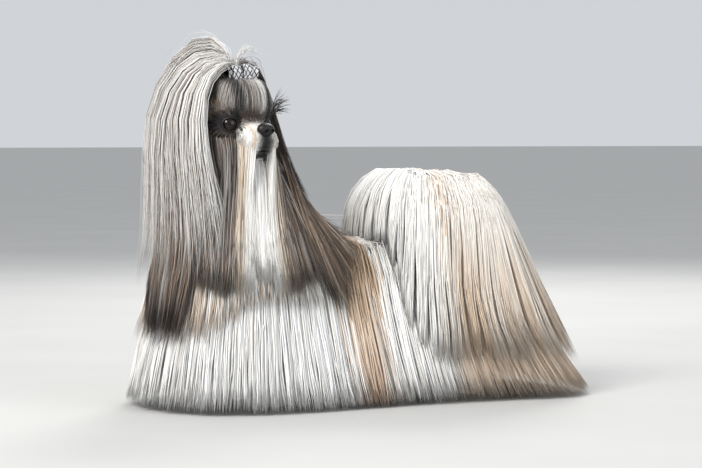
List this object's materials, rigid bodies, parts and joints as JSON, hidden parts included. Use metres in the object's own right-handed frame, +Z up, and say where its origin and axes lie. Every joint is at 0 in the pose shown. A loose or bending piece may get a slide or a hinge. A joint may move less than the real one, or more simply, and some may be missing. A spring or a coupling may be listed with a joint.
{
  "type": "shih tzu",
  "caption": "Long-coated small companion dog standing with its head turned to its left, full coat to the floor, plumed tail over the back and a bowed topknot; a still display model.",
  "frame": {"origin": "on the floor, under the middle of the whole model's box", "axes": "+Z up, +X the way the body faces (the head is turned to its left, about 105 degrees from +X towards +Y), +Y its left side"},
  "size_m": [0.6146, 0.3206, 0.4664],
  "materials": {
    "coat_white": "long straight white coat hair, soft sheen",
    "coat_gold": "long pale gold coat hair",
    "coat_smoke": "long smoke, silver and black hair in streaks",
    "nose_leather": "black, finely pebbled and moist",
    "eye": "dark brown, wet and clear",
    "ribbon": "white woven ribbon with a plain black lattice",
    "elastic": "black elastic and satin edging"
  },
  "bodies": {
    "root": {"eye_right": "eye", "eye_left": "eye", "nose": "nose_leather", "bow_band": "elastic", "bow_loop_1": "ribbon", "bow_loop_2": "ribbon", "bow_loop_3": "ribbon", "leg_front_left": "coat_white", "leg_front_right": "coat_white", "leg_hind_left": "coat_white", "leg_hind_right": "coat_white", "torso": "coat_gold", "chest": "coat_white", "rump": "coat_gold", "neck": "coat_white", "head": "coat_smoke", "tail": "coat_white", "ear_right": "coat_smoke", "ear_left": "coat_smoke", "moustache_right": "coat_smoke", "moustache_left": "coat_smoke", "beard": "coat_white", "topknot": "coat_white"}
  },
  "joints": []
}
